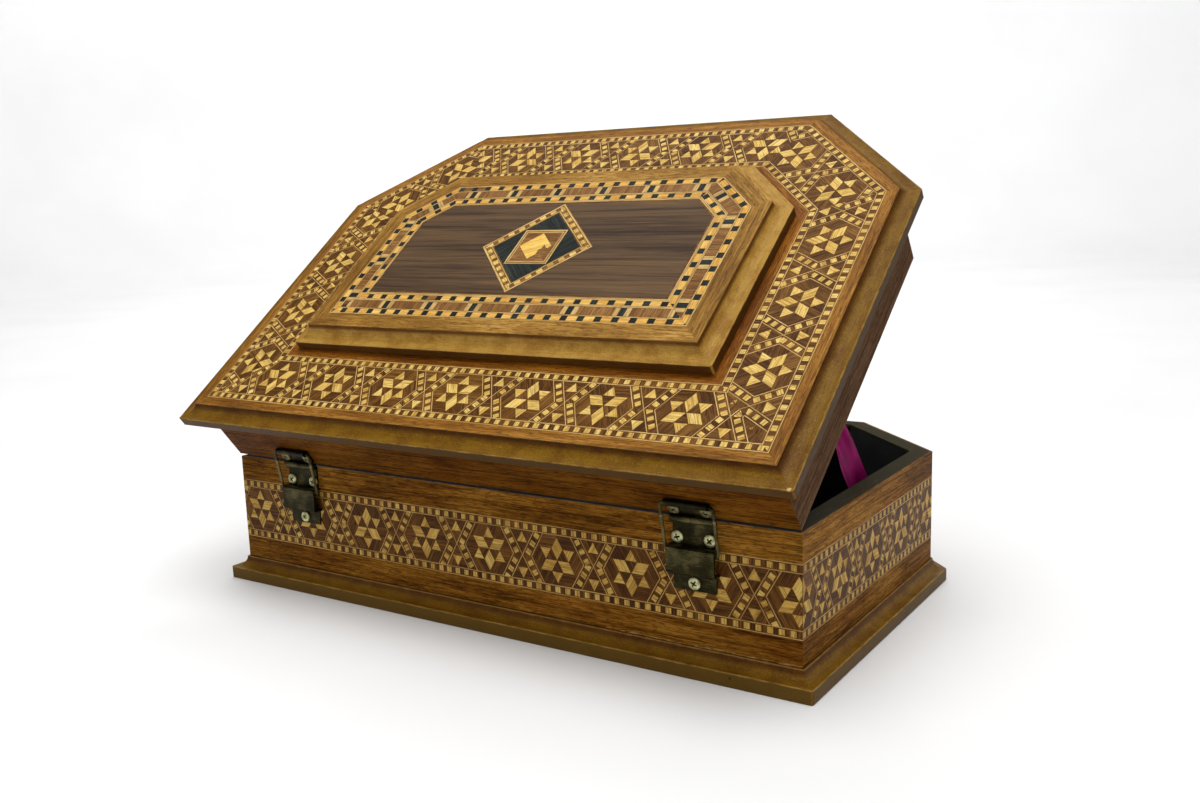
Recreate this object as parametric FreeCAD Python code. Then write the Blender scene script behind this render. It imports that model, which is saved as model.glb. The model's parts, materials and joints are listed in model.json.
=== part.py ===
import FreeCAD, Part
import math
import os
from FreeCAD import Vector

# Marquetry keepsake box with a hinged lid, in millimetres, +Z up.
# The origin is the centre of the footprint on the resting plane.
# The hinges are on the +Y side, and the front with its two cut corners is on the -Y side.
# The lid stands half open. Lid pieces are drawn closed and then turned about the hinge pins.

# Body
body_length = 290.0
body_depth = 195.0
corner_cut = 51.0
rim_height = 60.0
wall_thickness = 9.0

# Base board: overhang, upright edge, total height, and how far its top stands out of the walls
base_height = 10.2
base_edge = 5.7
base_overhang = 6.6
base_top_out = 0.9

# Lid
lid_angle = 37.0
lid_gap = 0.2
lid_full_angle = 100.0
skirt_height = 28.3
skirt_thickness = 9.0
lid_board_height = 7.7
lid_board_edge = 4.6
lid_overhang = 8.6
lid_top_out = 1.1

# Raised panel on the lid
panel_height = 9.5
panel_edge = 4.5
panel_inset = 37.2
panel_top_inset = 44.2

# Moulding: ledge at the foot of the cove, fillet at its top, eased arris, rounded corner
cove_ledge = 0.9
cove_fillet = 0.8
arris = 0.4
corner_radius = 1.3
overcut = 4.0

# Inlay
veneer = 0.8
wall_band_low = 20.6
wall_band_height = 28.2
lid_band_inset = 3.6
lid_band_width = 29.1
border_inset = 52.1
border_width = 15.1
diamond_gap = 0.3
diamond_border_width = 4.9
diamond_centre_gap = 0.635
diamond_heart_gap = 2.5

# Lining
lining = 1.0
lining_below_rim = 1.2

# Hinges
hinge_from_end = 42.5
leaf_width = 18.0
leaf_thickness = 0.8
pin_offset = 2.0
pin_radius = 0.75
knuckle_radius = 1.5
knuckle_gap = 0.2
leaf_clearance = 0.3
running_clearance = 0.05

# Stay wire: it turns in the curl on the lid leaf and hooks into the channel on the box leaf
wire_radius = 0.65
curl_height = 8.4
curl_offset = 1.6
curl_radius = 1.4
stay_spacing = 22.0
stay_length = 20.3
stay_lean = 11.25
stay_ratio = -0.74
stay_bend = 1.6
wire_sides = 10
bend_steps = 3
hook_reach = 3.2
channel_width = 20.2
channel_depth = 4.0
channel_clearance = 0.35

# Screws
screw_head_radius = 2.45
screw_head_height = 1.2
screw_radius = 0.9
screw_length = 7.0
screw_spacing = 13.6
recess_length = 2.9
recess_width = 0.55
recess_depth = 0.7
screw_point = 1.4
screw_bevel_share = 0.6
screw_sides = 12
pilot_clearance = 0.05
screw_above_channel = 0.25
screw_below_channel = 1.3
leaf_below_screw = 0.55
lid_screw_row = 4.2

# Ribbon: centre points in the plane of its width, (y, z) at rest, from the box up to the lid
ribbon_width = 14.0
ribbon_thickness = 0.6
ribbon_from_lining = 0.3
ribbon_points = [(3.0, 29.0), (8.0, 43.0), (18.0, 58.5), (33.0, 75.5), (47.0, 92.0), (56.0, 108.0)]

half_length = body_length / 2
half_depth = body_depth / 2
pin_y = half_depth + pin_offset
pin_z = rim_height
skirt_low = rim_height + lid_gap
board_low = skirt_low + skirt_height
board_top = board_low + lid_board_height
panel_top = board_top + panel_height

hinge_line = Vector(0, pin_y, pin_z)
opening_axis = Vector(-1, 0, 0)
up = Vector(0, 0, 1)
side_names = ["back", "left", "front_left", "front", "front_right", "right"]
hinge_sides = {"left": hinge_from_end - half_length, "right": half_length - hinge_from_end}


def outline(offset):
    # Corners of the body's plan moved outward by offset, anticlockwise from the back right
    diagonal = math.sqrt(2) - 1
    x_side = half_length + offset
    x_front = half_length - corner_cut + offset * diagonal
    y_back = half_depth + offset
    y_side = -half_depth + corner_cut - offset * diagonal
    y_front = -half_depth - offset
    return [(x_side, y_back), (-x_side, y_back), (-x_side, y_side),
            (-x_front, y_front), (x_front, y_front), (x_side, y_side)]


def prism(points, low, high):
    corners = [Vector(x, y, low) for x, y in points]
    face = Part.Face(Part.makePolygon(corners + [corners[0]]))
    return face.extrude(Vector(0, 0, high - low))


def plate(offset, low, high):
    return prism(outline(offset), low, high)


def side_piece(side, outer, inner, low, high):
    # One side of a ring between two offsets, mitred at both ends
    outside = outline(outer)
    inside = outline(inner)
    following = (side + 1) % len(side_names)
    return prism([outside[side], outside[following], inside[following], inside[side]], low, high)


def ring(outer, inner, low, high):
    return plate(outer, low, high).cut(plate(inner, low - 1, high + 1))


def side_frame(side):
    # Ends of the side, direction along it and outward direction
    corners = outline(0)
    start = Vector(*corners[side], 0)
    end = Vector(*corners[(side + 1) % len(corners)], 0)
    along = (end - start).normalize()
    return start, end, along, along.cross(up)


def arc(first, middle, last):
    return Part.Arc(first, middle, last).toShape()


def line(first, last):
    return Part.LineSegment(first, last).toShape()


def moulding_cutters(edge_out, edge_height, top_out, height, low):
    # What a moulding run takes off a square edge, in (out, z): the cove with the arris under it, and the lower arris
    foot = edge_out - cove_ledge
    cove_top = height - cove_fillet
    cove_middle = (foot - (foot - top_out) * math.sqrt(0.5), cove_top - (cove_top - edge_height) * math.sqrt(0.5))
    clear = overcut + edge_out
    cove = [
        [(clear, edge_height - arris - overcut), (edge_out - arris, edge_height)],
        [(edge_out - arris, edge_height), (foot, edge_height)],
        [(foot, edge_height), cove_middle, (top_out, cove_top)],
        [(top_out, cove_top), (top_out, height + overcut)],
        [(top_out, height + overcut), (clear, height + overcut)],
        [(clear, height + overcut), (clear, edge_height - arris - overcut)],
    ]
    arris_corners = [(edge_out - arris - overcut, -overcut), (clear, -overcut), (clear, arris + overcut)]
    lower = [[here, arris_corners[index - 2]] for index, here in enumerate(arris_corners)]
    return [[[(out, z + low) for out, z in piece] for piece in section] for section in (cove, lower)]


def moulded_board(edge_out, edge_height, top_out, height, low):
    # A flat board with eased corners, and the same moulding run along all six sides
    board = plate(edge_out, low, low + height)
    uprights = [edge for edge in board.Edges if abs(edge.Vertexes[0].Z - edge.Vertexes[1].Z) > height / 2]
    board = board.makeFillet(corner_radius, uprights)
    for side in range(len(side_names)):
        start, end, along, out_of = side_frame(side)
        for section in moulding_cutters(edge_out, edge_height, top_out, height, low):
            edges = []
            for piece in section:
                places = [start - along * corner_cut + out_of * out + up * z for out, z in piece]
                edges.append(arc(*places) if len(places) == 3 else line(*places))
            run = Part.Face(Part.Wire(edges)).extrude(end - start + along * corner_cut * 2)
            board = board.cut(run)
    return board.removeSplitter()


def opened(shape):
    moved = shape.copy()
    moved.rotate(hinge_line, opening_axis, lid_angle)
    return moved


def cross_prism(points, x_low, x_high):
    # Outline in (out, z) behind the back wall, run along X
    corners = [Vector(x_low, half_depth + out, z) for out, z in points]
    face = Part.Face(Part.makePolygon(corners + [corners[0]]))
    return face.extrude(Vector(x_high - x_low, 0, 0))


def rod(radius, x_low, x_high, out, z):
    return Part.makeCylinder(radius, x_high - x_low, Vector(x_low, half_depth + out, z), Vector(1, 0, 0))


def screw_hole(x, z, radius):
    depth = screw_length + 1
    return Part.makeCylinder(radius, depth + 2, Vector(x, half_depth + 2, z), Vector(0, -1, 0))


def ring_about(centre, heading, across, radius, sides):
    # Corners of a regular polygon about a point, square to heading
    upward = heading.cross(across)
    turns = [2 * math.pi * step / sides for step in range(sides)]
    return [centre + across * (radius * math.cos(turn)) + upward * (radius * math.sin(turn)) for turn in turns]


def faceted(rings):
    # A solid with flat faces through rings of as many corners each
    faces = [Part.Face(Part.makePolygon(corners + [corners[0]])) for corners in (rings[0], rings[-1])]
    for low, high in zip(rings, rings[1:]):
        for index in range(len(low)):
            corners = [low[index - 1], low[index], high[index], high[index - 1]]
            faces.append(Part.Face(Part.makePolygon(corners + [corners[0]])))
    solid = Part.Solid(Part.Shell(faces))
    if solid.Volume < 0:
        solid.reverse()
    return solid


def screw(x, z):
    # Low head with a bevelled edge and a cross recess on the leaf, and a shank with a short point
    place = Vector(x, half_depth + leaf_thickness, z)
    outward, across = Vector(0, 1, 0), Vector(1, 0, 0)
    bevel = screw_head_height * screw_bevel_share
    sections = [(screw_radius / 4, -screw_length), (screw_radius, -screw_length + screw_point), (screw_radius, 0),
                (screw_head_radius, 0), (screw_head_radius, screw_head_height - bevel),
                (screw_head_radius - bevel, screw_head_height)]
    body = faceted([ring_about(place + outward * height, outward, across, radius, screw_sides)
                    for radius, height in sections])
    low = screw_head_height - recess_depth
    for long, wide in ((recess_length, recess_width), (recess_width, recess_length)):
        corner = place + outward * low - across * (long / 2) - up * (wide / 2)
        body = body.cut(Part.makeBox(long, recess_depth + 1, wide, corner))
    return body


def lid_screw_places():
    return [(centre + side * screw_spacing / 2, pin_z + lid_screw_row)
            for centre in hinge_sides.values() for side in (-1, 1)]


def box_screw_places():
    # Two screws over the channel and one under it
    hook_low, hook_high = channel_reach()
    row = hook_high + leaf_thickness + screw_above_channel + screw_head_radius
    low = hook_low - leaf_thickness - screw_below_channel - screw_head_radius
    places = []
    for centre in hinge_sides.values():
        places += [(centre - screw_spacing / 2, row), (centre + screw_spacing / 2, row), (centre, low)]
    return places


def drilled(shape, places, radius):
    for x, z in places:
        shape = shape.cut(screw_hole(x, z, radius))
    return shape


def curl_place(angle):
    # Centre of the curl behind the back wall, (out, z), with the lid open by angle
    turn = math.radians(angle)
    out = curl_offset - pin_offset
    return (pin_offset + out * math.cos(turn) + curl_height * math.sin(turn),
            pin_z - out * math.sin(turn) + curl_height * math.cos(turn))


def hook_place(angle):
    # Centre of the hooks behind the back wall, (out, z), with the lid open by angle
    out, z = curl_place(angle)
    lean = math.radians(stay_lean + (angle - lid_angle) * (1 + stay_ratio))
    return out - stay_length * math.sin(lean), z - stay_length * math.cos(lean)


def channel_reach():
    # Lowest and highest place inside the channel, which the hooks reach with the lid open and closed
    room = wire_radius + channel_clearance
    return hook_place(lid_full_angle)[1] - room, hook_place(0)[1] + room


def make_walls():
    pieces = {}
    band_high = wall_band_low + wall_band_height
    for side, name in enumerate(side_names):
        wall = side_piece(side, 0, -wall_thickness, base_height, rim_height)
        groove = side_piece(side, 0, -veneer, wall_band_low, band_high)
        band = groove.copy()
        wall = wall.cut(groove)
        if name == "back":
            hole = screw_radius + pilot_clearance
            wall = drilled(wall, box_screw_places(), hole)
            band = drilled(band, box_screw_places(), hole)
        pieces["wall_" + name] = wall
        pieces["band_" + name] = band
        sheet_high = rim_height - lining_below_rim
        sheet = side_piece(side, -wall_thickness, -wall_thickness - lining, base_height + lining, sheet_high)
        pieces["wall_lining_" + name] = sheet
    return pieces


def make_base():
    board = moulded_board(base_overhang, base_edge, base_top_out, base_height, 0)
    floor = plate(-wall_thickness, base_height, base_height + lining)
    return {"base_board": board, "floor_lining": floor}


def make_lid():
    pieces = {}
    board = moulded_board(lid_overhang, lid_board_edge, lid_top_out, lid_board_height, board_low)
    band_inner = lid_band_inset + lid_band_width
    board = board.cut(ring(-lid_band_inset, -band_inner, board_top - veneer, board_top + 1))
    pieces["lid_board"] = board
    for side, name in enumerate(side_names):
        skirt = side_piece(side, 0, -skirt_thickness, skirt_low, board_low)
        if name == "back":
            skirt = drilled(skirt, lid_screw_places(), screw_radius + pilot_clearance)
        pieces["lid_skirt_" + name] = skirt
        pieces["lid_band_" + name] = side_piece(side, -lid_band_inset, -band_inner, board_top - veneer, board_top)
    hollow = plate(-skirt_thickness - lining, skirt_low, board_low - lining)
    pieces["lid_lining"] = plate(-skirt_thickness, skirt_low + lining_below_rim, board_low).cut(hollow)
    return pieces


def square(half):
    return [(half, half), (-half, half), (-half, -half), (half, -half)]


def diamond(reach):
    return [(reach, 0), (0, reach), (-reach, 0), (0, -reach)]


def make_panel():
    pieces = {}
    low = panel_top - veneer
    border_inner = border_inset + border_width
    reach = half_depth - border_inner - diamond_gap
    inner_reach = reach - diamond_border_width * math.sqrt(2)
    centre_half = inner_reach / 2 - diamond_centre_gap
    panel = moulded_board(-panel_inset, panel_edge, -panel_top_inset, panel_height, board_top)
    pieces["raised_panel"] = panel.cut(plate(-border_inset, low, panel_top + 1))
    for side, name in enumerate(side_names):
        pieces["panel_border_" + name] = side_piece(side, -border_inset, -border_inner, low, panel_top)
    outer = prism(diamond(reach), low, panel_top)
    inner = prism(diamond(inner_reach), low, panel_top)
    centre = prism(square(centre_half), low, panel_top)
    heart = prism(diamond(centre_half - diamond_heart_gap), low, panel_top)
    pieces["panel_field"] = plate(-border_inner, low, panel_top).cut(outer)
    pieces["diamond_border"] = outer.cut(inner)
    pieces["diamond_ground"] = inner.cut(centre)
    pieces["diamond_centre"] = centre.cut(heart)
    pieces["diamond_heart"] = heart
    return pieces


def make_box_leaf(centre):
    # A bent strap: low flange, raised channel open at both sides, plate, and half a knuckle
    half = leaf_width / 2
    thick = leaf_thickness
    hook_low, hook_high = channel_reach()
    places = [place for place in box_screw_places() if abs(place[0] - centre) < leaf_width]
    leaf_low = places[-1][1] - screw_head_radius - leaf_below_screw
    plate_top = pin_z - knuckle_radius - leaf_clearance
    flange = cross_prism([(0, leaf_low), (thick, leaf_low), (thick, hook_low), (0, hook_low)],
                         centre - half, centre + half)
    upper = cross_prism([(0, hook_high), (thick, hook_high), (thick, plate_top), (0, plate_top)],
                        centre - half, centre + half)
    inner = channel_depth
    outer = channel_depth + thick
    bridge = cross_prism([(0, hook_low - thick), (outer - thick, hook_low - thick), (outer, hook_low),
                          (outer, hook_high), (outer - thick, hook_high + thick), (0, hook_high + thick),
                          (0, hook_high), (inner, hook_high), (inner, hook_low), (0, hook_low)],
                         centre - channel_width / 2, centre + channel_width / 2)
    web = cross_prism([(0, plate_top - 1), (thick, plate_top - 1), (thick, pin_z), (0, pin_z)],
                      centre - half, centre - knuckle_gap / 2)
    knuckle = rod(knuckle_radius, centre - half, centre - knuckle_gap / 2, pin_offset, pin_z)
    leaf = flange.fuse([upper, bridge, web, knuckle])
    leaf = leaf.cut(rod(pin_radius + running_clearance, centre - half - 1, centre + half + 1, pin_offset, pin_z))
    return drilled(leaf, places, screw_radius + pilot_clearance).removeSplitter()


def make_lid_leaf(centre):
    # Drawn closed: half a knuckle, a plate with two screws, and the curl that holds the stay wire
    half = leaf_width / 2
    thick = leaf_thickness
    plate_low = pin_z + knuckle_radius + leaf_clearance
    curl_z = pin_z + curl_height
    body = cross_prism([(0, plate_low), (thick, plate_low), (thick, curl_z), (0, curl_z)],
                       centre - half, centre + half)
    web = cross_prism([(0, pin_z + lid_gap), (thick, pin_z + lid_gap), (thick, plate_low + 1), (0, plate_low + 1)],
                      centre + knuckle_gap / 2, centre + half)
    knuckle = rod(knuckle_radius, centre + knuckle_gap / 2, centre + half, pin_offset, pin_z)
    curl = rod(curl_radius, centre - half, centre + half, curl_offset, curl_z)
    leaf = body.fuse([web, knuckle, curl])
    for radius, out, z in ((pin_radius, pin_offset, pin_z), (wire_radius, curl_offset, curl_z)):
        leaf = leaf.cut(rod(radius + running_clearance, centre - half - 1, centre + half + 1, out, z))
    places = [place for place in lid_screw_places() if abs(place[0] - centre) < leaf_width]
    return drilled(leaf, places, screw_radius + pilot_clearance).removeSplitter()


def bent_wire(corners, bend, radius):
    # Wire with flat facets through square corners in the XZ plane, each corner rounded to the bend radius
    sideways = Vector(0, 1, 0)
    heading = (corners[1] - corners[0]).normalize()
    rings = [ring_about(corners[0], heading, sideways, radius, wire_sides)]
    for before, here, after in zip(corners, corners[1:], corners[2:]):
        heading = (here - before).normalize()
        leaving = (after - here).normalize()
        centre = here + (leaving - heading) * bend
        for step in range(bend_steps + 1):
            turn = math.pi / 2 * step / bend_steps
            place = centre - leaving * (bend * math.cos(turn)) + heading * (bend * math.sin(turn))
            onward = heading * math.cos(turn) + leaving * math.sin(turn)
            rings.append(ring_about(place, onward, sideways, radius, wire_sides))
    rings.append(ring_about(corners[-1], leaving, sideways, radius, wire_sides))
    return faceted(rings)


def make_stay(centre):
    half = stay_spacing / 2
    corners = [Vector(-half + hook_reach, 0, -stay_length), Vector(-half, 0, -stay_length), Vector(-half, 0, 0),
               Vector(half, 0, 0), Vector(half, 0, -stay_length), Vector(half - hook_reach, 0, -stay_length)]
    stay = bent_wire(corners, stay_bend, wire_radius)
    out, z = curl_place(lid_angle)
    stay.rotate(Vector(0, 0, 0), Vector(-1, 0, 0), stay_lean)
    stay.translate(Vector(centre, half_depth + out, z))
    return stay


def make_ribbon():
    # A flat satin strip close to the left lining, slack between the box and the half open lid
    centre = Part.BSplineCurve()
    centre.interpolate([Vector(0, y, z) for y, z in ribbon_points])
    steps = 12
    edges = []
    for side in (-1, 1):
        places = []
        for step in range(steps + 1):
            share = centre.FirstParameter + (centre.LastParameter - centre.FirstParameter) * step / steps
            heading = centre.tangent(share)[0]
            across = heading.cross(Vector(1, 0, 0)).normalize()
            places.append(centre.value(share) + across * (side * ribbon_width / 2))
        edge = Part.BSplineCurve()
        edge.interpolate(places)
        edges.append(edge)
    low, high = edges
    outline_wire = Part.Wire([low.toShape(), line(low.EndPoint, high.EndPoint), high.toShape(),
                              line(high.StartPoint, low.StartPoint)])
    strip = Part.Face(outline_wire).extrude(Vector(ribbon_thickness, 0, 0))
    strip.translate(Vector(-half_length + wall_thickness + lining + ribbon_from_lining, 0, 0))
    print("ribbon length:", round(centre.length(), 1))
    return strip


def make_hinges():
    pieces = {}
    for name, centre in hinge_sides.items():
        half = leaf_width / 2
        pieces["box_leaf_" + name] = make_box_leaf(centre)
        pieces["hinge_pin_" + name] = rod(pin_radius, centre - half, centre + half, pin_offset, pin_z)
        pieces["lid_leaf_" + name] = opened(make_lid_leaf(centre))
        pieces["stay_wire_" + name] = make_stay(centre)
    pieces["box_leaf_screws"] = Part.makeCompound([screw(x, z) for x, z in box_screw_places()])
    pieces["lid_leaf_screws"] = opened(Part.makeCompound([screw(x, z) for x, z in lid_screw_places()]))
    return pieces


def main():
    os.makedirs("parts", exist_ok=True)
    pieces = {}
    pieces.update(make_base())
    pieces.update(make_walls())
    for lid_pieces in (make_lid(), make_panel()):
        pieces.update({name: opened(shape) for name, shape in lid_pieces.items()})
    pieces.update(make_hinges())
    pieces["lid_ribbon"] = make_ribbon()
    for name, shape in pieces.items():
        shape.exportStep("parts/" + name + ".step")
        if not shape.isValid():
            print("not valid:", name)
    print("nodes:", len(pieces))
    print("curl at rest (out, z):", curl_place(lid_angle))
    print("hooks closed, at rest and open (out, z):", [hook_place(a) for a in (0, lid_angle, lid_full_angle)])


main()
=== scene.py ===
import json
import math
import random

import bmesh
import bpy
from mathutils import Matrix, Vector


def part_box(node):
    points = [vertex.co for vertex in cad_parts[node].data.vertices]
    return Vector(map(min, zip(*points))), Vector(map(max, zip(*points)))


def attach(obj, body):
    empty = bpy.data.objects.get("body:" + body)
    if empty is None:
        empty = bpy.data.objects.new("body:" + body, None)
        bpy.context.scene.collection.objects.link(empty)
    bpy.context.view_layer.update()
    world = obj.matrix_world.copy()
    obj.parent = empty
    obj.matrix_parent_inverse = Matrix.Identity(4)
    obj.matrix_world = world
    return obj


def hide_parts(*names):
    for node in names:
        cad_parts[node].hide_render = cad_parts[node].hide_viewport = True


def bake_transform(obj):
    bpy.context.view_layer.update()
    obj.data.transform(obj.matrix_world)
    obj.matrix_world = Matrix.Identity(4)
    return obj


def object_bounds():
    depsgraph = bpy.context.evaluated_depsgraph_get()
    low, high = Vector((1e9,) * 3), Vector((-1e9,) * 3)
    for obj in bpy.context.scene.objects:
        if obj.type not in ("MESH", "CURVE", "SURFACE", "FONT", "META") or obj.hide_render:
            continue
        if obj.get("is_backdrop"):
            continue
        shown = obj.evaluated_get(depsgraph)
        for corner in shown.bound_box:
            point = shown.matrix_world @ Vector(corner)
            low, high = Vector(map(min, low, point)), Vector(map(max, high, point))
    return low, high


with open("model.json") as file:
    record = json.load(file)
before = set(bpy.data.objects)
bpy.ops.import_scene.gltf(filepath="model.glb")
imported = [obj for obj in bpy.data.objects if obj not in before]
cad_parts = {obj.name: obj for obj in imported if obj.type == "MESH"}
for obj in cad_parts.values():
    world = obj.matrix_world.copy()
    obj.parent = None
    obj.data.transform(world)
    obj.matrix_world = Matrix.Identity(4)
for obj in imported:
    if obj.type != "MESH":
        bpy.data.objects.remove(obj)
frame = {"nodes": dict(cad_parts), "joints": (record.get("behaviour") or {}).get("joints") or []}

# Marquetry keepsake box. The star bands are laid tile by tile, in millimetres on each band's own plane,
# and every wood takes its grain from the side of the box that it runs along.

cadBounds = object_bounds()
cadNodes = frame["nodes"]
dice = random.Random(11)
mm = 0.001
sideNames = ["back", "left", "front_left", "front", "front_right", "right"]

lidHinge = next(joint for joint in frame["joints"] if joint["name"] == "lid_hinge")
pin = Vector(lidHinge["pos_m"])
openAngle = math.radians(-lidHinge["range_deg"][0])
lidTurn = Matrix.Translation(pin) @ Matrix.Rotation(-openAngle, 4, "X") @ Matrix.Translation(-pin)
boxTurn = Matrix.Identity(4)      # lidTurn brings a piece of the shut lid to rest
bodyTurns = {"box": boxTurn, "lid": lidTurn}

body = {  # millimetres, read from the CAD walls
    "halfLength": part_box("wall_back")[1].x / mm,
    "halfDepth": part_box("wall_back")[1].y / mm,
    "cornerCut": (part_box("wall_back")[1].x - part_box("wall_front")[1].x) / mm,
    "rim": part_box("wall_back")[1].z / mm,
    "baseTop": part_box("wall_back")[0].z / mm,
    "wall": 9.0,
}


def closedBox(node):  # a lid node's box with the lid shut, in millimetres
    corners = [lidTurn.inverted() @ vertex.co / mm for vertex in cadNodes[node].data.vertices]
    return [[pick(corner[axis] for corner in corners) for axis in range(3)] for pick in (min, max)]


lid = {
    "skirtLow": closedBox("lid_skirt_back")[0][2],
    "boardLow": closedBox("lid_board")[0][2],
    "boardTop": closedBox("lid_board")[1][2],
    "panelTop": closedBox("raised_panel")[1][2],
}


def placed(name, data):  # an object with this data in the scene
    thing = bpy.data.objects.new(name, data)
    bpy.context.scene.collection.objects.link(thing)
    return thing


def makeMesh(name, places, faces, finishes, smooth=True):
    mesh = bpy.data.meshes.new(name)
    mesh.from_pydata(places, [], faces)
    for finish in finishes:
        mesh.materials.append(finish)
    if smooth:
        smoothed(mesh)
    return mesh


def smoothed(mesh):
    mesh.polygons.foreach_set("use_smooth", [True] * len(mesh.polygons))


def store(mesh, name, kind, domain, values):  # an attribute that a finish reads
    layer = mesh.attributes.new(name, kind, domain)
    if kind == "FLOAT":
        layer.data.foreach_set("value", values)
    else:
        layer.data.foreach_set("vector", [part for spot in values for part in spot])


def net(rows, columns, closed):  # four-sided faces between rows of places, closed where the rows are rings
    wide = columns if closed else columns + 1
    return [[row * wide + column, row * wide + (column + 1) % wide,
             (row + 1) * wide + (column + 1) % wide, (row + 1) * wide + column]
            for row in range(rows) for column in range(columns)]


def onBody(name, mesh, bodyName):  # a piece that rides a body
    piece = placed(name, mesh)
    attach(piece, bodyName)
    return piece


# Camera at the photo's angle

camera = {
    "place": (-304.5, 464.1, 178.8),
    "aim": (1.8, 0.0, 80.2),
    "roll": -0.03315,
    "lens": 35.27,
    "sensor": 36.0,
    "nearest": 0.01,      # metres
}


def makeCamera():
    place, aim = Vector(camera["place"]), Vector(camera["aim"])
    ahead = (aim - place).normalized()
    level = ahead.cross(Vector((0, 0, 1))).normalized()
    lift = level.cross(ahead)
    turn = camera["roll"]
    right = level * math.cos(turn) + lift * math.sin(turn)
    up = lift * math.cos(turn) - level * math.sin(turn)
    lens = bpy.data.cameras.new("camera")
    lens.lens = camera["lens"]
    lens.sensor_width = camera["sensor"]
    lens.clip_start = camera["nearest"]
    holder = placed("camera", lens)
    holder.matrix_world = Matrix((
        (right.x, up.x, -ahead.x, place.x * mm),
        (right.y, up.y, -ahead.y, place.y * mm),
        (right.z, up.z, -ahead.z, place.z * mm),
        (0, 0, 0, 1)))
    bpy.context.scene.camera = holder
    print("camera set")


# Shader maths

grainJump = {"end": 400.0, "cut": 1000.0}      # keeps the grain of the ends and the cut corners from repeating


class Value:  # a socket that can be used in a sum
    def __init__(self, finish, socket):
        self.finish = finish
        self.socket = socket

    def sum(self, operation, first, second=0.0):
        return self.finish.add("ShaderNodeMath", {"operation": operation}, {0: first, 1: second})

    def __add__(self, other):
        return self.sum("ADD", self, other)

    def __radd__(self, other):
        return self.sum("ADD", other, self)

    def __sub__(self, other):
        return self.sum("SUBTRACT", self, other)

    def __rsub__(self, other):
        return self.sum("SUBTRACT", other, self)

    def __mul__(self, other):
        return self.sum("MULTIPLY", self, other)

    def __rmul__(self, other):
        return self.sum("MULTIPLY", other, self)

    def __truediv__(self, other):
        return self.sum("DIVIDE", self, other)

    def __abs__(self):
        return self.sum("ABSOLUTE", self)

    def __gt__(self, other):
        return self.sum("GREATER_THAN", self, other)

    def __lt__(self, other):
        return self.sum("LESS_THAN", self, other)

    def top(self, other):
        return self.sum("MAXIMUM", self, other)


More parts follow.
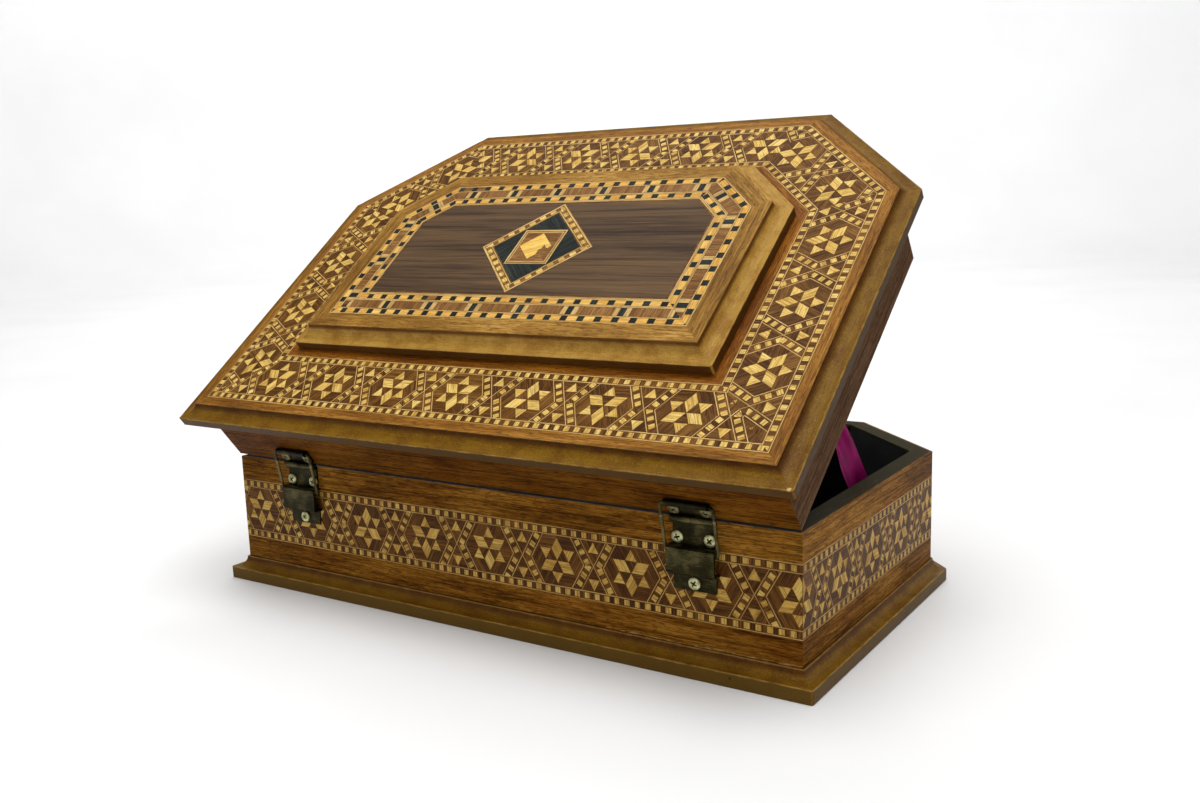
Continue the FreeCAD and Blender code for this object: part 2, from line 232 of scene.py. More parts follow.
class Finish:  # one material and its nodes
    def __init__(self, name, **fixed):
        self.material = bpy.data.materials.new(name)
        self.material.use_nodes = True
        self.tree = self.material.node_tree
        self.shader = self.tree.nodes["Principled BSDF"]
        for word, value in fixed.items():
            self.shader.inputs[word.replace("_", " ")].default_value = value

    def add(self, kind, settings, sockets, output=0):  # any node: its settings first, then its sockets
        node = self.tree.nodes.new(kind)
        for word, value in settings.items():
            if word == "stops":
                for index, (place, colour) in enumerate(value):
                    ramp = node.color_ramp.elements
                    stop = ramp[index] if index < len(ramp) else ramp.new(place)
                    stop.position = place
                    stop.color = colour
            else:
                setattr(node, word, value)
        for word, value in sockets.items():
            self.join(value, node.inputs[word])
        return Value(self, node.outputs[output])

    def join(self, value, socket):
        if isinstance(value, Value):
            self.tree.links.new(value.socket, socket)
        else:
            socket.default_value = value

    def give(self, **sockets):
        for word, value in sockets.items():
            self.join(value, self.shader.inputs[word.replace("_", " ")])
        return self.material

    def mix(self, share, first, second, blend="MIX"):  # colours
        settings = {"data_type": "RGBA", "blend_type": blend}
        return self.add("ShaderNodeMix", settings, {0: share, 6: first, 7: second}, 2)

    def tint(self, share, first, second):  # multiplies colours
        return self.mix(share, first, second, "MULTIPLY")

    def ramp(self, value, *stops):
        return self.add("ShaderNodeValToRGB", {"stops": stops}, {"Fac": value})

    def step(self, value, low, high, first=0.0, last=1.0):  # smooth change from first to last
        settings = {"interpolation_type": "SMOOTHSTEP"}
        return self.add("ShaderNodeMapRange", settings, {0: value, 1: low, 2: high, 3: first, 4: last})

    def far(self, *parts):  # the length of a vector, from its parts
        total = parts[0] * parts[0]
        for part in parts[1:]:
            total = total + part * part
        return self.add("ShaderNodeMath", {"operation": "SQRT"}, {0: total})

    def scaled(self, vector, by):
        return self.add("ShaderNodeVectorMath", {"operation": "MULTIPLY"}, {0: vector, 1: by})

    def shifted(self, vector, centre):
        return self.add("ShaderNodeVectorMath", {"operation": "SUBTRACT"}, {0: vector, 1: centre})

    def noise(self, vector, scale, detail=3.0, rough=0.5, lean=0.0):
        sockets = {"Vector": self.scaled(vector, scale), "Scale": 1.0, "Detail": detail, "Roughness": rough,
                   "Distortion": lean}
        return self.add("ShaderNodeTexNoise", {}, sockets)

    def stored(self, name, output="Vector"):  # an attribute of the mesh
        return self.add("ShaderNodeAttribute", {"attribute_name": name}, {}, output)

    def apart(self, vector):
        node = self.add("ShaderNodeSeparateXYZ", {}, {"Vector": vector}).socket.node
        return [Value(self, socket) for socket in node.outputs]

    def vector(self, x, y, z):
        return self.add("ShaderNodeCombineXYZ", {}, {0: x, 1: y, 2: z})

    def bump(self, height, depth):  # depth in millimetres
        return self.add("ShaderNodeBump", {}, {"Height": height, "Distance": depth * mm, "Strength": 1.0})

    def place(self, inLid=False):  # place on the shut box, in millimetres
        spot = self.add("ShaderNodeTexCoord", {}, {}, "Object")
        if inLid:
            sockets = {"Vector": spot, "Center": tuple(pin), "Angle": openAngle}
            spot = self.add("ShaderNodeVectorRotate", {"rotation_type": "X_AXIS"}, sockets)
        return self.scaled(spot, (1 / mm, 1 / mm, 1 / mm))

    def alongSide(self, inLid=False):  # distance along the nearest side, distance out of the walls, height
        x, y, z = self.apart(self.place(inLid))
        outEnd = abs(x) - body["halfLength"]
        outLong = abs(y) - body["halfDepth"]
        cutReach = (body["halfLength"] + body["halfDepth"] - body["cornerCut"]) / math.sqrt(2)
        outCut = (abs(x) - y) / math.sqrt(2) - cutReach
        nearEnd = outEnd > outLong
        straight = outEnd.top(outLong)
        nearCut = outCut > straight
        along = x + nearEnd * (y - x)
        cutAlong = (abs(x) + y) / math.sqrt(2) + grainJump["cut"]
        along = along + nearEnd * grainJump["end"]
        return along + nearCut * (cutAlong - along), straight.top(outCut), z


def paint(red, green, blue):  # a colour named by its screen values, 0 to 255
    shares = [part / 255 for part in (red, green, blue)]
    return (*(share / 12.92 if share < 0.0408 else ((share + 0.055) / 1.055) ** 2.4 for share in shares), 1.0)


# Woods and other finishes

woods = {  # dark, middle and light tone, pore tone
    "mahogany": [(72, 40, 7), (131, 84, 20), (174, 122, 46), (38, 18, 4)],
    # the mahogany of the lid's back skirt, darkened as painted shade under the lid board's overhang
    "shadedSkirtMahogany": [(60, 31, 3), (102, 60, 10), (128, 83, 24), (32, 16, 2)],
    "goldenMahogany": [(112, 74, 22), (154, 111, 42), (194, 150, 74), (82, 50, 14)],
    "darkMahogany": [(80, 58, 42), (102, 76, 56), (122, 94, 72), (58, 40, 30)],
    "moulding": [(150, 113, 44), (184, 142, 62), (208, 168, 88), (104, 77, 28)],
    "rosewood": [(68, 38, 10), (110, 70, 24), (146, 102, 46), (44, 25, 6)],
    "boxwood": [(206, 162, 76), (232, 194, 104), (248, 220, 138), (138, 98, 38)],
    "stringing": [(190, 152, 88), (214, 178, 112), (232, 200, 136), (150, 116, 60)],
    "walnut": [(60, 44, 32), (88, 68, 48), (110, 84, 56), (40, 28, 20)],
    "ebony": [(22, 26, 24), (36, 42, 38), (60, 66, 60), (14, 16, 14)],
    "brownTile": [(108, 68, 30), (140, 98, 50), (170, 126, 74), (78, 46, 20)],
    "amber": [(204, 148, 62), (232, 182, 88), (248, 208, 122), (172, 118, 48)],
    "gold": [(226, 174, 70), (250, 206, 100), (255, 226, 132), (206, 150, 60)],
}


grainNoise = {  # how often it changes along and across the grain, detail, roughness, distortion
    "streak": (0.012, 0.36, 5.0, 0.65, 0.5),
    "fine": (0.11, 2.1, 3.0, 0.6, 0.3),
    "flecks": (0.28, 2.4, 2.0, 0.5, 0.6),
    "lines": (0.03, 0.9, 2.0, 0.5, 0.2),
}


def woodTones(finish, space, name, fineness=1.0, lined=0.35):
    # colour, roughness and surface height of a wood
    dark, middle, light, pore = [paint(*tone) for tone in woods[name]]
    streak, fine, flecks, lines = [
        finish.noise(space, (long, across * fineness, across * fineness), detail, rough, lean)
        for long, across, detail, rough, lean in grainNoise.values()]
    cloud = finish.noise(space, (0.02, 0.03, 0.03), 2.0)
    tone = streak * 0.60 + fine * 0.75 + cloud * 0.50 - 0.425
    colour = finish.ramp(tone, (0.30, dark), (0.50, middle), (0.70, light))
    colour = finish.mix(finish.step(lines, 0.52, 0.60) * lined, colour, pore)
    pores = finish.step(flecks, 0.54, 0.62)
    colour = finish.mix(pores * 0.60, colour, pore)
    rough = 0.36 + 0.16 * fine + 0.10 * pores
    height = fine * 0.35 - pores * 0.7
    return colour, rough, height


def varnish(finish, colour, rough, height, depth=0.03):
    return finish.give(Base_Color=colour, Roughness=rough, Normal=finish.bump(height, depth))


def darkPaint(finish, mask, colour, rough, grain):  # dull olive-black stain where mask is 1, a little worn
    worn = finish.noise(grain, (0.10, 0.5, 0.5), 4.0)
    black = finish.mix(finish.step(worn, 0.50, 0.75) * 0.5, paint(64, 59, 45), paint(88, 78, 58))
    return finish.mix(mask, colour, black), rough + mask * 0.35


boards = {
    "tideTone": (206, 168, 140),
    "jointTone": (38, 22, 8),          # dirt where a board meets the moulding
    "jointShare": 0.75,
    "splinter": (214, 172, 110),
    "splintersFrom": -62.0,            # along the back, from here to the corner
    "stainDepth": (0.04, 0.9),         # how far the rim's stain runs down, and how far from the face it stops
}


def boardWood(name, wood, inLid, gloss):  # the wall and skirt boards, stained dark where lid and box meet
    finish = Finish(name, Specular_IOR_Level=gloss)
    stainDown, stainIn = boards["stainDepth"]
    along, out, z = finish.alongSide(inLid)
    space = finish.vector(along, z, out)
    colour, rough, height = woodTones(finish, space, wood, 1.0, 0.5)
    tide = finish.noise(space, (0.016, 0.02, 0.02), 2.0)
    colour = finish.tint(finish.step(tide, 0.45, 0.65) * 0.4, colour, paint(*boards["tideTone"]))
    inner = out < -(body["wall"] - 0.1)
    if inLid:
        edge = z < lid["skirtLow"] + stainDown
        joint = finish.step(lid["boardLow"] - z, 0.0, 0.7, 1.0, 0.0)
    else:
        edge = (z > body["rim"] - stainDown) * (out < -stainIn)
        joint = finish.step(z - body["baseTop"], 0.0, 0.55, 1.0, 0.0)
        crumbs = finish.noise(space, (0.22, 1.5, 1.5), 4.0, 0.7)
        foot = finish.step(z - body["baseTop"], 0.2, 1.1, 1.0, 0.0)
        broken = finish.step(crumbs, 0.51, 0.55) * foot * (along < boards["splintersFrom"])
        colour = finish.mix(broken * 0.85, colour, paint(*boards["splinter"]))
    colour = finish.mix(joint * boards["jointShare"], colour, paint(*boards["jointTone"]))
    colour, rough = darkPaint(finish, edge.top(inner), colour, rough, space)
    return varnish(finish, colour, rough, height)


mouldings = {  # places are (out, height) on the moulding's own foot
    "base_board": {
        "arrises": [(6.6, 5.7), (0.9, 10.2)],
        "hollow": (0.9, 9.3),      # the hollow's inner edge, and how far its darkening reaches: stain gathered in the hollow, and painted shade
        "hollowStainAndShadeReach": 2.6,
        "hollowStainAndShadeTone": (176, 140, 90),
        "edge": 6.5,               # the upright edge, darkened as painted shade, lies further out than this
        "edgeShadeTone": (104, 78, 22),
        "stain": (174, 161, 96),
        "veneer": None,            # height of a veneered top
    },
    "lid_board": {
        "arrises": [(8.6, 4.6), (1.1, 7.7)],
        "hollow": (1.1, 6.8),
        "hollowStainAndShadeReach": 3.4,
        "hollowStainAndShadeTone": (150, 108, 50),
        "edge": 8.5,
        "edgeShadeTone": (78, 52, 9),
        "stain": (172, 161, 84),
        "veneer": 7.7,
    },
    "raised_panel": {
        "arrises": [(-37.2, 4.5), (-44.2, 9.5)],
        "hollow": (-44.2, 8.6),
        "hollowStainAndShadeReach": 2.0,
        "hollowStainAndShadeTone": (120, 82, 36),
        "edge": -37.3,
        "edgeShadeTone": (70, 34, 6),
        "stain": (248, 248, 248),
        "veneer": 9.5,
    },
}
mouldingTones = {
    "mottle": (196, 168, 120),
    "speckle": (150, 120, 80),
    "glint": (214, 178, 112),
    # pale on the arrises: wear, and painted highlight
    "worn": (206, 166, 92),
    "under": (58, 44, 30),
    "lidVeneer": (240, 222, 190),
    "panelShade": (224, 196, 112),      # painted shade of the raised panel: darker and redder beside it
}
panelShade = (-31.0, -35.0)      # where the lid's veneer is painted darker and redder, as shade beside the raised panel
marks = {  # small dark knots and pale chips: moulding, place on the shut box, radius, tone
    "base_board": [((-119.3, 104.1, 3.8), 0.5, (24, 14, 6))],
    "lid_board": [((-72.2, 58.9, 96.2), 0.7, (226, 210, 180)), ((-77.3, 59.1, 96.2), 0.5, (226, 210, 180)),
                  ((-152.0, 105.4, 93.1), 0.8, (214, 178, 116))],
    "raised_panel": [((-44.8, 56.5, 101.5), 0.45, (30, 16, 6))],
}


def mouldedWood(node, low, inLid):  # run moulding, golden under satin varnish, pale along its arrises from wear and painted highlight, darker in its hollow from gathered stain and painted shade, and painted shade on its upright edge
    shape = mouldings[node]
    tones = {name: paint(*tone) for name, tone in mouldingTones.items()}
    finish = Finish("moulding_" + node, Specular_IOR_Level=0.10)
    along, out, z = finish.alongSide(inLid)
    space = finish.vector(along, z, out)
    colour, rough, height = woodTones(finish, space, "moulding", 1.4, 0.2)
    mottle = finish.noise(space, (0.09, 0.12, 0.12), 4.0, 0.6)
    colour = finish.mix(0.55, colour, paint(*woods["moulding"][1]))      # a thin stain hides most grain
    colour = finish.tint(1.0, colour, paint(*shape["stain"]))
    colour = finish.tint(finish.step(mottle, 0.40, 0.64) * 0.6, colour, tones["mottle"])
    speckle = finish.noise(space, (1.7, 1.7, 1.7), 3.0)
    colour = finish.tint(finish.step(speckle, 0.58, 0.68) * 0.45, colour, tones["speckle"])
    colour = finish.mix(finish.step(speckle, 0.42, 0.34) * 0.12, colour, tones["glint"])
    # darker towards the hollow's inner edge: stain gathered there, and painted shade in the hollow
    reach, rise = shape["hollow"]
    away = finish.far(out - reach, z - (low + rise))
    hollow = finish.step(away, 0.4, shape["hollowStainAndShadeReach"], 1.0, 0.0) * 0.8
    colour = finish.tint(hollow, colour, paint(*shape["hollowStainAndShadeTone"]))
    # painted shade: the upright outer edge darkened, as it takes less light than the tops
    edge = (out > shape["edge"]) * (z < low + shape["arrises"][0][1] - 0.25)
    edgeShadeTone = paint(*shape["edgeShadeTone"])
    colour = finish.mix(edge * 0.9, colour, finish.mix(0.3, edgeShadeTone, finish.tint(1.0, colour, edgeShadeTone)))
    # pale along the arrises: wear, and painted highlight on the convex edges
    ragged = finish.noise(space, (0.25, 1.2, 1.2), 4.0)
    for reach, rise in shape["arrises"]:
        away = finish.far(out - reach, z - (low + rise))
        worn = finish.step(away + ragged * 0.9, 0.45, 1.05, 1.0, 0.0)
        colour = finish.mix(worn * 0.45, colour, tones["worn"])
    if shape["veneer"] is not None:
        veneer, veneerRough, veneerHeight = woodTones(finish, space, "goldenMahogany", 0.9)
        flat = z > low + shape["veneer"] - 0.06
        if node == "lid_board":
            veneer = finish.tint(1.0, veneer, tones["lidVeneer"])
            # painted shade on the veneer beside the raised panel
            veneer = finish.tint(finish.step(out, *panelShade) * 0.9, veneer, tones["panelShade"])
        colour = finish.mix(flat, colour, veneer)
        rough = rough + flat * (veneerRough + 0.05 - rough)
        height = height + flat * (veneerHeight - height)
    colour = finish.mix(z < low + 0.02, colour, tones["under"])
    spot = finish.place(inLid)
    for centre, radius, tone in marks[node]:
        away = finish.far(*finish.apart(finish.shifted(spot, centre)))
        mark = finish.step(away + ragged * radius, radius * 1.1, radius * 1.7, 0.9, 0.0)
        colour = finish.mix(mark, colour, paint(*tone))
    return varnish(finish, colour, rough, height)


def tileWood(name, part, shadeTint):  # marquetry tiles carry their own grain space in millimetres
    finish = Finish("tile_" + part + "_" + name, Specular_IOR_Level=0.08)
    x, y, tileNumber = finish.apart(finish.stored("grainSpace"))
    colour, rough, height = woodTones(finish, finish.vector(x, y, tileNumber), name, 1.3, 0.5)
    own = finish.add("ShaderNodeTexWhiteNoise", {"noise_dimensions": "1D"}, {"W": tileNumber}, "Value")
    colour = finish.tint(own * 0.30, colour, paint(196, 180, 160))
    # painted shade on the walls' tiles; the lid's tint is white
    colour = finish.tint(1.0, colour, paint(*shadeTint))
    return varnish(finish, colour, rough, height, 0.015)


def flatWood(name, inLid, kind):  # a plain node with its grain along X
    finish = Finish(name, Specular_IOR_Level=0.08)
    return varnish(finish, *woodTones(finish, finish.place(inLid), kind, 0.7))


def walnutField():  # the panel's field, with long dark lines in it
    finish = Finish("walnut_field", Specular_IOR_Level=0.08)
    dark, middle, light, pore = [paint(*tone) for tone in woods["walnut"]]
    space = finish.place(True)
    wide = finish.noise(space, (0.006, 0.11, 0.11), 4.0, 0.6, 0.6)
    lines = finish.noise(space, (0.008, 0.55, 0.55), 3.0, 0.6, 0.4)
    fine = finish.noise(space, (0.05, 2.0, 2.0), 3.0, 0.6)
    colour = finish.ramp(wide * 0.6 + fine * 0.4, (0.36, dark), (0.50, middle), (0.64, light))
    colour = finish.mix(finish.step(lines, 0.53, 0.62) * 0.50, colour, pore)
    colour = finish.mix(finish.step(lines, 0.44, 0.36) * 0.30, colour, light)
    return varnish(finish, colour, 0.40 + 0.14 * fine, fine)


channelSpan = [pick(vertex.co.z / mm for vertex in cadNodes["box_leaf_left"].data.vertices
                    if vertex.co.y / mm > body["halfDepth"] + 3.2) for pick in (min, max)]


def agedBrass(name, tones):  # old brass, dark in the flats, rubbed brighter in patches and on the channel, with painted highlight brightening the channel towards its top and a painted highlight line along its top edge
    finish = Finish(name, Metallic=1.0)
    space = finish.place()
    _, y, z = finish.apart(space)
    cloud = finish.noise(space, (0.12, 0.12, 0.12), 3.0, 0.5)
    brushed = finish.noise(space, (0.25, 3.0, 3.0), 3.0, 0.6)
    spots = finish.noise(space, (2.2, 2.2, 2.2), 3.0)
    low, high = channelSpan
    channel = finish.step(z, low - 0.6, low + 0.6) * finish.step(z, high, high + 1.0, 1.0, 0.0)
    channel = channel * finish.step(y, body["halfDepth"] + 1.2, body["halfDepth"] + 2.4)
    # the channel rubbed brighter, and painted highlight growing towards its top
    rubbedAndHighlight = channel * (0.02 + 0.10 * finish.step(z, low, high + 0.6))
    # painted highlight: a bright line along the channel's top edge
    rubbedAndHighlight = rubbedAndHighlight + finish.step(abs(z - (high + 0.5)), 0.0, 0.8, 0.25, 0.0) * (y > body["halfDepth"] + 3.4)
    tone = cloud * 0.55 + brushed * 0.30 + spots * 0.15 + rubbedAndHighlight
    dark, middle, light = [paint(*part) for part in tones]
    colour = finish.ramp(tone, (0.40, dark), (0.52, middle), (0.78, light))
    return varnish(finish, colour, 0.32 + 0.22 * cloud, brushed + spots, 0.015)


def screwBrass(name, light):  # pale plated heads, darker in the recess
    finish = Finish(name, Metallic=0.85)
    cloud = finish.noise(finish.place(), (0.6, 0.6, 0.6), 4.0)
    inRecess = finish.stored("recess", "Fac")
    red, green, blue = light
    shade = paint(red * 0.72, green * 0.72, blue * 0.68)
    # darker and rougher in the recess
    colour = finish.mix(inRecess, finish.ramp(cloud, (0.35, shade), (0.6, paint(*light))), paint(24, 22, 16))
    return varnish(finish, colour, 0.30 + 0.22 * cloud + 0.3 * inRecess, cloud)


def velvet():
    finish = Finish("blackVelvet", Specular_IOR_Level=0.05, Sheen_Weight=0.12, Sheen_Roughness=0.4)
    space = finish.place()
    pile = finish.noise(space, (6.0, 6.0, 6.0), 3.0)
    brushed = finish.noise(space, (0.06, 0.06, 0.1), 3.0, 0.6)
    colour = finish.ramp(pile * 0.5 + brushed * 0.5, (0.35, paint(3, 3, 4)), (0.65, paint(11, 11, 13)))
    return varnish(finish, colour, 0.9 + 0.08 * pile, pile, 0.12)


def satin():
    finish = Finish("magentaSatin", Specular_IOR_Level=0.03)
    space = finish.stored("clothSpace")
    across = finish.noise(space, (0.4, 12.0, 1.0), 2.0)
    weft = finish.noise(space, (14.0, 0.6, 1.0), 2.0)
    cloud = finish.noise(space, (0.12, 0.08, 1.0), 2.0)
    tone = across * 0.25 + weft * 0.25 + cloud * 0.5
    colour = finish.ramp(tone, (0.35, paint(88, 0, 50)), (0.62, paint(156, 0, 100)))
    return varnish(finish, colour, 0.42 + 0.12 * weft, across + weft, 0.02)


def paleFloor():
    finish = Finish("paleFloor")
    cloud = finish.noise(finish.place(), (0.004, 0.004, 0.004), 3.0)
    colour = finish.ramp(cloud, (0.3, paint(246, 246, 246)), (0.7, paint(252, 252, 252)))
    return finish.give(Base_Color=colour, Roughness=0.6 + 0.1 * cloud)


# Marquetry laid as tiles, each a thin closed plate let into the band under it

tile = {
    "sunk": 0.3,
    "rise": 0.03,        # of the lowest level, and each level above it by
    "level": 0.02,
    "seam": 0.06,
    "least": 0.03,       # smaller slivers are left out
    "numbers": 900,
    "log": 300,          # the tiles are cut from places this far apart in the grain
    "woods": ["rosewood", "boxwood", "stringing", "ebony", "brownTile", "amber", "gold"],
    "wallWoods": ["rosewood", "boxwood", "stringing"],
    # painted shade: the walls' tiles tinted darker than the lid's, for the upright walls' lesser light
    "shadeTint": {"lid": (255, 255, 255), "wall": (232, 224, 206)},
}


def area(corners):
    return sum(here.cross(after) for here, after in zip(corners, corners[1:] + corners[:1])) / 2


def cutAlong(corners, start, end, inset):  # what lies left of the line from start to end, less a margin
    along = (end - start).normalized()
    sides = [along.cross(corner - start) - inset for corner in corners]
    kept = []
    for index, here in enumerate(corners):
        after = (index + 1) % len(corners)
        if sides[index] >= 0:
            kept.append(here)
        if sides[index] * sides[after] < 0:
            kept.append(here.lerp(corners[after], sides[index] / (sides[index] - sides[after])))
    return kept


def cutTo(corners, edge, inset=0.0):
    for start, end in zip(edge, edge[1:] + edge[:1]):
        if len(corners) > 2:
            corners = cutAlong(corners, start, end, inset)
    return corners


def ordered(corners):  # anticlockwise, as vectors
    corners = [Vector(corner) for corner in corners]
    return corners if area(corners) > 0 else corners[::-1]


class Inlay:  # tiles laid on one plane inside an edge
    def __init__(self, edge):
        self.edge = ordered(edge)
        self.tiles = []

    def lay(self, corners, wood, grain=0.0, level=0, seam=None, within=None):
        corners = cutTo(ordered(corners), self.edge)
        if within:
            corners = cutTo(corners, within)
        if len(corners) > 2:
            corners = cutTo(corners, corners, tile["seam"] if seam is None else seam)
        if len(corners) > 2 and area(corners) > tile["least"]:
            self.tiles.append((corners, wood, grain, tile["rise"] + level * tile["level"]))

    def strip(self, start, end, width, wood, within=None, seam=0.0):  # a thin line of wood
        start, end = Vector(start), Vector(end)
        along = (end - start).normalized()
        across = Vector((-along.y, along.x)) * width / 2
        corners = [start - across, end - across, end + across, start + across]
        self.lay(corners, wood, math.atan2(along.y, along.x), 1, seam, within)

    def build(self, name, place, bodyName, slotName, finishes):
        kinds = sorted({wood for _, wood, _, _ in self.tiles})
        places, faces, kindOf, grainOf = [], [], [], []
        for corners, wood, grain, rise in self.tiles:
            first, count = len(places), len(corners)
            places += [place @ Vector((corner.x, corner.y, height)) for height in (rise, -tile["sunk"])
                       for corner in corners]
            above = list(range(first, first + count))
            below = [index + count for index in above]
            sides = [[below[index - 1], below[index], above[index], above[index - 1]] for index in range(count)]
            number = dice.uniform(0, tile["numbers"])
            turn = Matrix.Rotation(-grain, 2)
            shift = Vector((dice.uniform(0, tile["log"]), dice.uniform(0, tile["log"])))
            grained = [turn @ corner + shift for corner in corners] * 2
            for face in [above, below[::-1]] + sides:
                faces.append(face)
                kindOf.append(kinds.index(wood))
                grainOf += [(*grained[index - first], number) for index in face]
        mesh = makeMesh(name, places, faces, [finishes[kind] for kind in kinds], False)
        mesh.polygons.foreach_set("material_index", kindOf)
        store(mesh, "grainSpace", "FLOAT_VECTOR", "CORNER", grainOf)
        onBody(name, mesh, bodyName)


def rectangle(left, low, right, high):
    return [Vector((left, low)), Vector((right, low)), Vector((right, high)), Vector((left, high))]


def ray(angle, reach, centre):
    return Vector((centre + reach * math.cos(angle), reach * math.sin(angle)))


star = {
    "line": 0.38,          # light lines
    "string": 2.95,        # check strings at both edges
    "square": (2.35, 2.3),  # light square, across and along a string
    "pitch": 4.67,
    "arm": 4.6,            # width of the crossing bands along the band
    "armSquare": (2.45, 2.3),
    "armPitch": 4.17,
    "armLine": 0.34,
    "tipGap": 0.75,        # from a star's tip to the string
    "rhombusSeam": 0.14,
    "halfSeam": 0.12,
    "triangleSeam": 0.3,
    "grains": (0.0, math.pi / 3, -math.pi / 3),
    "uneven": {"wide": (0.94, 1.04), "long": (0.90, 1.08), "pitch": (0.96, 1.04)},
}


def squares(inlay, start, end, size, pitch, within):
    # light squares along a string, each a little uneven
    start, end = Vector(start), Vector(end)
    along = (end - start).normalized()
    side = Vector((-along.y, along.x))
    uneven = star["uneven"]
    offset = dice.uniform(0.15, 0.85) * pitch
    while offset < (end - start).length:
        centre = start + along * offset
        wide = size[0] * dice.uniform(*uneven["wide"]) / 2
        long = size[1] * dice.uniform(*uneven["long"]) / 2
        corners = [centre + side * a * wide + along * b * long
                   for a, b in ((-1, -1), (-1, 1), (1, 1), (1, -1))]
        inlay.lay(corners, "boxwood", math.atan2(side.y, side.x), 1, 0.0, within)
        offset += pitch * dice.uniform(*uneven["pitch"])


def starUnit(inlay, centre, half, period, upward):
    # one hexagon with its star, and the crossing bands to its right
    field = rectangle(centre - period, -half, centre + 2 * period, half)
    slope = half / math.sqrt(3)
    apex = period / 2 - star["arm"]
    corner = apex - slope
    hexagon = [Vector((centre + x, y)) for x, y in
               ((apex, 0), (corner, half), (-corner, half), (-apex, 0), (-corner, -half), (corner, -half))]
    middles = [(hexagon[index] + hexagon[(index + 1) % 6]) / 2 for index in range(6)]
    reach = half - star["tipGap"]
    tips = [ray(math.radians(30 + 60 * index), reach, centre) for index in range(6)]
    inner = [ray(math.radians(60 * index), reach / math.sqrt(3), centre) for index in range(6)]
    heart = Vector((centre, 0))
    for index in range(6):
        ground = [middles[index - 1], hexagon[index], middles[index],
                  tips[index], inner[index], tips[index - 1]]
        inlay.lay(ground, "rosewood", dice.choice(star["grains"]), within=field)
        full = (index % 2 == 1) == upward      # whole rhombus, or its outer half
        low, high = inner[index], inner[(index + 1) % 6]
        grain = math.radians(60 * index + dice.choice((0, 60)))
        if full:
            inlay.lay([heart, low, tips[index], high], "boxwood", grain, seam=star["rhombusSeam"])
        else:
            inlay.lay([low, tips[index], high], "boxwood", grain, seam=star["halfSeam"])
            inlay.lay([heart, low, high], "rosewood", dice.choice(star["grains"]))
    crossing = centre + period / 2
    for rise in (-1, 1):
        end = rise * half
        for side in (-1, 1):
            arm = [(crossing, 0), (crossing + side * star["arm"], 0),
                   (crossing + side * (slope + star["arm"]), end), (crossing + side * slope, end)]
            inlay.lay(arm, "rosewood", math.radians(30 * side * rise + 90), within=field)
            squares(inlay, (crossing + side * star["arm"] / 2, 0),
                    (crossing + side * (slope + star["arm"] / 2), end), star["armSquare"],
                    star["armPitch"], ordered(arm))
            inlay.strip(arm[1], arm[2], star["armLine"], "stringing", field)
        left, middle, right = (crossing - slope, end), (crossing, end), (crossing + slope, end)
        halfway = [(crossing - slope / 2, end / 2), (crossing + slope / 2, end / 2)]
        inlay.lay([*halfway, middle], "boxwood", math.radians(60), seam=star["triangleSeam"])
        for piece in ([left, halfway[0], middle], [right, halfway[1], middle], [*halfway, (crossing, 0)]):
            inlay.lay(piece, "rosewood", dice.choice(star["grains"]), within=field)
        inlay.strip((crossing - slope * rise, -half), (crossing + slope * rise, half), star["armLine"],
                    "stringing", field)


def starBand(left, right, width, edge, run):
    # a whole band between its ends
    first, period, kinds = run
    inlay = Inlay(edge)
    halfWidth = width / 2
    half = halfWidth - 2 * star["line"] - star["string"]
    for number in range(math.floor((left - first) / period), math.ceil((right - first) / period) + 1):
        starUnit(inlay, first + number * period, half, period, kinds[number % len(kinds)] == "B")
    for side in (-1, 1):
        low, high = sorted((side * (half + star["line"]), side * (halfWidth - star["line"])))
        string, middle = rectangle(left, low, right, high), (low + high) / 2
        inlay.lay(string, "rosewood", math.pi / 2, seam=0.0)
        squares(inlay, (left, middle), (right, middle), star["square"], star["pitch"], string)
        for line in (half + star["line"] / 2, halfWidth - star["line"] / 2):
            inlay.strip((left, side * line), (right, side * line), star["line"], "stringing")
    return inlay


def outline(offset):  # corners of the plan, moved out by offset
    diagonal = math.sqrt(2) - 1
    x, y = body["halfLength"] + offset, body["halfDepth"] + offset
    xFront = body["halfLength"] - body["cornerCut"] + offset * diagonal
    ySide = body["cornerCut"] - body["halfDepth"] - offset * diagonal
    corners = (x, y), (-x, y), (-x, ySide), (-xFront, -y), (xFront, -y), (x, ySide)
    return [Vector(corner) for corner in corners]


def sideFrame(side, offset=0):  # middle of a side, its length, direction along it and outward direction
    start, end = outline(offset)[side], outline(offset)[(side + 1) % 6]
    along = (end - start).normalized()
    return (start + end) / 2, (end - start).length, along, Vector((along.y, -along.x))


def planeOf(right, up, facing, origin, turn):  # from (right, up, out of the plane) in millimetres to the box
    columns = [Vector(axis) for axis in (right, up, facing, origin)]
    return turn @ Matrix([[column[row] * mm for column in columns] for row in range(3)] + [[0, 0, 0, 1]])


def lidStrip(side, inset, width, centre, top):  # edge of a strip on the lid, and its plane: up is outward
    _, _, along, out = sideFrame(side)
    outer, inner, after = outline(-inset), outline(-inset - width), (side + 1) % 6
    flat = [((corner - centre).dot(-along), (corner - centre).dot(out))
            for corner in (outer[side], outer[after], inner[after], inner[side])]
    return flat, planeOf((*-along, 0), (*out, 0), (0, 0, 1), (*centre, top), lidTurn)


wallBand = {
    "low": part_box("band_back")[0].z / mm,
    "high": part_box("band_back")[1].z / mm,
    "runs": {  # place of one star along the side, distance between stars, and how they point from there on
        "back": (-133.9, 34.7, "ABBAABABB"),
        "left": (-3.1, 34.3, "B"),
        "right": (-8.0, 34.3, "B"),
    },
    "otherRun": (0.0, 34.5, "BA"),
}

lidBand = {
    "inset": 3.6,
    "width": 29.1,
    "runs": {
        "back": (-104.1, 35.1, "ABABBAB"),
        "left": (-5.0, 35.6, "A"),
        "front_left": (-18.3, 36.6, "BA"),
        "front": (10.7, 33.0, "BAABA"),
        "right": (-9.5, 35.3, "A"),
    },
    "otherRun": (-18.3, 36.6, "AB"),
}


